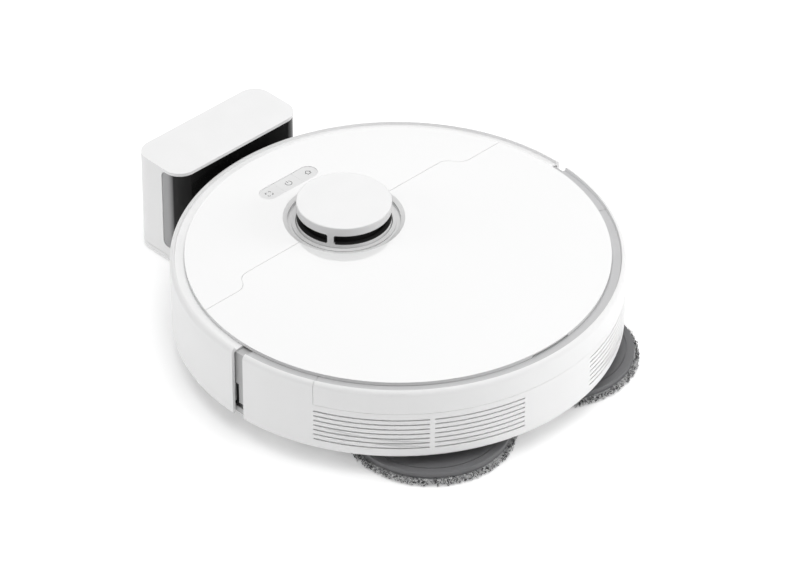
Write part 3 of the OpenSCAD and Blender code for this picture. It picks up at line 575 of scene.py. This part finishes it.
# The L-shaped slot: its foot from SLOT_LOW to SLOT_HIGH, its upright part up to SLOT_TOP
SLOT_LOW, SLOT_HIGH = 24.0 * MM, 28.6 * MM
SLOT_TOP = 46.0 * MM
PILLAR_RADIUS = 170.5 * MM


def pillar_slot_painted_shade():
    """Black blocks filling the L-shaped slot at each end of the bumper, as painted shade where the
    slot lies in shadow.
    """
    for side, turn in (("left", 0), ("right", 180)):
        sign = 1 if side == "left" else -1
        bm = bmesh.new()
        radii = (PILLAR_RADIUS - 7.5 * MM, PILLAR_RADIUS - 0.5 * MM)
        low = SLOT_LOW + 0.05 * MM
        foot = (low + 1.4 * MM, SLOT_HIGH - 0.05 * MM)
        upright = (low, SLOT_TOP - 0.05 * MM)
        arc_block(bm, Vector(), radii, foot, (turn - sign * 3.9, turn + sign * 4.0), 1.0)
        arc_block(bm, Vector(), radii, upright, (turn + sign * 0.25, turn + sign * 1.35), 0.5)
        bmesh.ops.recalc_face_normals(bm, faces=bm.faces)
        # black gloss blocks that stand in for the shade inside the slot: painted shade
        obj = new_object(f"painted_shade_bumper_slot_{side}", bm, [MATERIALS["black_gloss"]], smooth=False)
        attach(obj, "chassis")


# ---- Brushes ------------------------------------------------------------------------------

SIDE_BRUSH_CENTRE = Vector((-104 * MM, -98 * MM, 0))
SIDE_BRUSH_REACH = 54 * MM
ARM_COUNT = 3
ARM_SIDES = 12
BRISTLES_PER_ARM = 34
ARM_TURN = 40  # degrees, direction of the side brush's first arm


def side_brush(rng):
    """A rubber hub with three tapered arms, each holding a splayed bundle of nylon bristles."""
    centre = SIDE_BRUSH_CENTRE
    bm = bmesh.new()
    hub = [(0.3, 5.1), (6.4, 5.1), (7.6, 5.5), (8.7, 6.6), (9, 8), (9, 14.6), (8.4, 15.6)]
    hub += [(3, 16), (3, 36.6), (2.6, 37), (0.3, 37)]
    lathe(bm, [(r * MM, z * MM) for r, z in hub], 48, centre, 0)
    for arm in range(ARM_COUNT):
        a = math.radians(ARM_TURN + 360 / ARM_COUNT * arm)
        out = Vector((math.cos(a), math.sin(a), 0))
        across = Vector((-out.y, out.x, 0))
        rows = []
        for t in (0, 0.25, 0.5, 0.75, 1):
            r = (6 + 14.5 * t) * MM
            wide, tall = (2.4 - 0.5 * t) * MM, (2.0 - 0.5 * t) * MM
            mid = centre + out * r + Vector((0, 0, (8 - 2.6 * t * t) * MM))
            ring = []
            for q in range(ARM_SIDES):
                b = 2 * math.pi * q / ARM_SIDES
                rise = Vector((0, 0, tall * math.sin(b)))
                ring.append(bm.verts.new(mid + across * wide * math.cos(b) + rise))
            rows.append(ring)
        skin(bm, rows)
        for _ in range(BRISTLES_PER_ARM):
            side = rng.uniform(-1, 1)
            rise = rng.uniform(-0.8, 0.8)
            long = SIDE_BRUSH_REACH - rng.uniform(0.1, 2.5) * MM
            points = []
            for t in (0, 0.33, 0.66, 1):
                r = 18 * MM + (long - 18 * MM) * t
                drift = (side * (1.1 + 2.2 * t) + 1.5 * t * t) * MM
                height = (5.4 + rise * (1 - 0.5 * t) - 2.3 * t) * MM
                points.append(centre + out * r + across * drift + Vector((0, 0, height)))
            strand(bm, points, 0.26 * MM, 0.2 * MM, material=1)
    materials = [MATERIALS["tyre_rubber"], MATERIALS["side_bristle"]]
    obj = new_object("side_brush_bundles", bm, materials)
    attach(obj, "side_brush")
    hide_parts("side_brush")


ROLLER_AXIS = Vector((0, -49 * MM, 20 * MM))
ROLLER_HALF = 81.8 * MM
ROLLER_SIDES = 48
VANES = 5
VANE_STEPS = 40
ROW_BRISTLES = 110
CHEVRON = math.radians(26)


def main_brush(rng):
    """A roller with V-shaped rubber vanes and a row of bristles in front of each."""
    low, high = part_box("brush_roller")
    half = ROLLER_HALF
    pin_end = (high[0] - low[0]) / 2
    core, tip, pin = 11 * MM, 18.4 * MM, 3 * MM

    def at(x, r, a):
        return ROLLER_AXIS + Vector((x, r * math.cos(a), r * math.sin(a)))

    bm = bmesh.new()
    outline = [(-pin_end, 0.3 * MM), (-pin_end, pin), (-half - 0.2 * MM, pin)]
    outline += [(-half - 0.2 * MM, 9 * MM), (-half + 0.8 * MM, 12 * MM)]
    outline += [(-half + 2.4 * MM, 12 * MM), (-half + 3 * MM, core)]
    outline += [(-x, r) for x, r in reversed(outline)]
    turns = [2 * math.pi * k / ROLLER_SIDES for k in range(ROLLER_SIDES)]
    skin(bm, [[bm.verts.new(at(x, r, a)) for a in turns] for x, r in outline])
    end = half - 3.5 * MM
    section = ((core - 0.6 * MM, -0.13), (tip - 1.0 * MM, -0.045), (tip, -0.02), (tip, 0.02))
    section += ((tip - 1.0 * MM, 0.045), (core - 0.6 * MM, 0.13))
    for vane in range(VANES):
        start = 2 * math.pi * vane / VANES
        rows = []
        for k in range(VANE_STEPS + 1):
            x = -end + 2 * end * k / VANE_STEPS
            a = start + CHEVRON * (1 - abs(x) / end)
            rows.append([bm.verts.new(at(x, r, a + d)) for r, d in section])
        skin(bm, rows)
        for k in range(ROW_BRISTLES):
            x = -end + 2 * end * (k + 0.5) / ROW_BRISTLES
            a = start + CHEVRON * (1 - abs(x) / end) + math.pi / VANES
            lean, tilt = rng.gauss(0, 0.6) * MM, rng.gauss(0, 0.05)
            points = [at(x, core - 0.4 * MM, a), at(x + lean * 0.4, (core + tip) / 2, a + tilt * 0.4)]
            points.append(at(x + lean, tip - rng.uniform(0, 0.8) * MM, a + tilt))
            strand(bm, points, 0.38 * MM, 0.28 * MM, material=1)
    bmesh.ops.recalc_face_normals(bm, faces=bm.faces)
    materials = [MATERIALS["brush_rubber"], MATERIALS["side_bristle"]]
    obj = new_object("main_brush_roller", bm, materials, smooth=False)
    obj.data.shade_smooth()
    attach(obj, "main_brush")
    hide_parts("brush_roller")


# ---- Small pieces under the lid -----------------------------------------------------------


def slab(bm, x, y, z, round_by=1.2, soft=0.3):
    """A flat block with rounded upright corners and a softened upper edge, sizes in millimetres."""
    rows = []
    for height, inset in ((z[0], 0.0), (z[1] - soft, 0.0), (z[1], soft)):
        ring = []
        for cx, cy, start in (
            (x[1] - round_by, y[1] - round_by, 0),
            (x[0] + round_by, y[1] - round_by, 90),
            (x[0] + round_by, y[0] + round_by, 180),
            (x[1] - round_by, y[0] + round_by, 270),
        ):
            for k in range(6):
                a = math.radians(start + 18 * k)
                r = round_by - inset
                corner = Vector((cx + r * math.cos(a), cy + r * math.sin(a), height))
                ring.append(bm.verts.new(corner * MM))
        rows.append(ring)
    skin(bm, rows)


def rod(bm, points, radius, sides=12):
    """A round bar along points in millimetres."""
    strand(bm, [Vector(p) * MM for p in points], radius * MM, radius * MM, sides)


def small_piece(name, bm, body, slot, smooth=False):
    """Finishes a piece of one material that rides on a body."""
    bmesh.ops.recalc_face_normals(bm, faces=bm.faces)
    obj = new_object(name, bm, [MATERIALS[slot]], smooth)
    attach(obj, body)


def bin_fittings():
    """The dustbin's fold-flat handle and its latch."""
    _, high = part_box("dustbin")
    top = high[2] / MM
    bm = bmesh.new()
    z = top - 0.2
    half, far, bend = 20, 22, 3
    turns = [math.pi / 2 - math.pi / 12 * k for k in range(7)]
    path = [(half, 6, z), (half, 12, z)]
    path += [(half - bend + bend * math.sin(t), far - bend + bend * math.cos(t), z) for t in turns]
    path += [(-x, y, h) for x, y, h in reversed(path)]
    rod(bm, path, 0.9)
    small_piece("dustbin_handle", bm, "chassis", "black_matt", smooth=True)
    bm = bmesh.new()
    slab(bm, (-11, 11), (38, 44), (top, top + 0.7), 2.0)
    for k in range(4):
        slab(bm, (-7, 7), (39.2 + k * 1.1, 39.6 + k * 1.1), (top + 0.7, top + 0.95), 0.19, 0.08)
    small_piece("dustbin_latch", bm, "chassis", "black_matt")


def tank_fittings():
    """The water tank's rubber filler plug with its pull tab, and its latch."""
    _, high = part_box("water_tank")
    top = high[2] / MM
    centre = Vector((62, 118, 0)) * MM
    bm = bmesh.new()
    outline = [(0.3, 0), (7.4, 0), (7.4, 0.35), (6.9, 0.6), (5.2, 0.6), (4.8, 0.3), (0.3, 0.3)]
    lathe(bm, [(r * MM, (top + z) * MM) for r, z in outline], 40, centre)
    slab(bm, (53, 57), (115.5, 120.5), (top, top + 0.5), 1.6)
    small_piece("tank_plug", bm, "chassis", "tyre_rubber")
    bm = bmesh.new()
    slab(bm, (-14, 14), (106.5, 112), (76, 76.8), 2.4)
    small_piece("tank_latch", bm, "chassis", "deck_grey")


DECK_TOP = 72  # millimetres
SCREW_PLACES = ((76, -30), (-76, -30), (-76, 66), (110, 76), (-110, 76), (0, 92))  # millimetres


def deck_screws():
    """Domed screw heads that hold the inner deck."""
    bm = bmesh.new()
    for x, y in SCREW_PLACES:
        centre = Vector((x, y, DECK_TOP)) * MM
        dome = [(0.2, 0.05), (2.8, 0.05), (2.75, 0.5), (2.2, 0.95), (1.2, 1.2), (0.2, 1.25)]
        lathe(bm, [(r * MM, z * MM) for r, z in dome], 24, centre)
    small_piece("deck_screws", bm, "chassis", "shaft_steel", smooth=True)


RIB_DEPTH = 0.85  # millimetres below the lid, clear of the water tank
RIB_SUNK = 0.05  # millimetres that ribs and magnets reach into the lid


def lid_ribs():
    """A rim and cross ribs that stiffen the lid from below, with two closing magnets."""
    low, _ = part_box("front_cover")
    under = low[2] / MM
    rib = (under - RIB_DEPTH, under + RIB_SUNK)
    bm = bmesh.new()
    for degrees in ((-16.5, 84), (96, 196.5)):
        arc_block(bm, Vector(), (157.0 * MM, 158.4 * MM), [z * MM for z in rib], degrees)
    for side in (-1, 1):
        for near, far, places in ((74, 110, (-9, 26, 61, 95)), (20, 60, (70, 110))):
            for y in places:
                slab(bm, sorted((side * near, side * far)), (y - 0.7, y + 0.7), rib, 0.3, 0.1)
    small_piece("lid_ribs", bm, "lid", "white_gloss")
    bm = bmesh.new()
    disc = [(0.3, -0.9), (4.6, -0.9), (5, -0.6), (5, RIB_SUNK), (0.3, RIB_SUNK)]
    outline = [(r * MM, (under + z) * MM) for r, z in disc]
    for side in (-1, 1):
        lathe(bm, outline, 32, Vector((side * 62, 140, 0)) * MM)
    small_piece("lid_magnets", bm, "lid", "shaft_steel")


# ---- Button icons -------------------------------------------------------------------------

ICON_STROKE = 0.5 * MM
ICON_PITCH = 20.6 * MM


def ribbon(bm, path, z, closed=False):
    """A flat raised line of even width along 2D points."""
    half, high = ICON_STROKE / 2, 0.06 * MM
    count = len(path)
    rows = []
    for i, p in enumerate(path):
        before = path[i - 1] if closed or i else p
        after = path[(i + 1) % count] if closed or i < count - 1 else p
        d1, d2 = (p - before), (after - p)
        d1 = d1.normalized() if d1.length else d2.normalized()
        d2 = d2.normalized() if d2.length else d1
        across = Vector((-(d1 + d2).y, (d1 + d2).x)).normalized()
        stretch = half / max(0.4, across.dot(Vector((-d1.y, d1.x))))
        left, right = p + across * stretch, p - across * stretch
        corners = ((left, z), (left, z + high), (right, z + high), (right, z))
        rows.append([bm.verts.new((q.x, q.y, h)) for q, h in corners])
    skin(bm, rows, closed)


def button_icons():
    """Generic marks: a dashed square for spot cleaning, a power ring and a house."""
    up = Vector((0, -1))
    side = Vector((-1, 0))

    def at(centre, u, v):
        return centre + side * u * MM + up * v * MM

    marks = {"spot": [], "power": [], "home": []}
    place = {}
    for name in marks:
        low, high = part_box(f"button_{name}")
        place[name] = (Vector(((low[0] + high[0]) / 2, (low[1] + high[1]) / 2)), high[2])
    middle = place["power"][0]
    aside = Vector((ICON_PITCH, 0))
    c = middle + aside
    for k in range(4):
        turn = Matrix.Rotation(math.pi / 2 * k, 2)
        corner = [(2.4, 0.8), (2.4, 1.9), (2.25, 2.25), (1.9, 2.4), (0.8, 2.4)]
        marks["spot"].append(([at(c, *(turn @ Vector(q))) for q in corner], False))
    c = middle
    arc = [math.radians(90 + 38 + k * (360 - 76) / 24) for k in range(25)]
    marks["power"].append(([at(c, 2.7 * math.cos(t), 2.7 * math.sin(t)) for t in arc], False))
    marks["power"].append(([at(c, 0, 0.5), at(c, 0, 3.1)], False))
    c = middle - aside
    house = [(-1.5, -2.1), (1.5, -2.1), (1.7, -0.1), (2.5, -0.1), (0, 2.4), (-2.5, -0.1), (-1.7, -0.1)]
    marks["home"].append(([at(c, *q) for q in house], True))
    for name, paths in marks.items():
        bm = bmesh.new()
        for path, closed in paths:
            ribbon(bm, path, place[name][1] - 0.01 * MM, closed)
        obj = new_object(f"icon_{name}", bm, [MATERIALS["icon_ink"]], smooth=False)
        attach(obj, f"button_{name}")


make_camera()
make_studio()
MATERIALS = make_materials()
mop_pad("left", random.Random(11))
mop_pad("right", random.Random(12))
side_brush(random.Random(21))
main_brush(random.Random(22))
window_trim()
pillar_slot_painted_shade()
bin_fittings()
tank_fittings()
deck_screws()
lid_ribs()
button_icons()
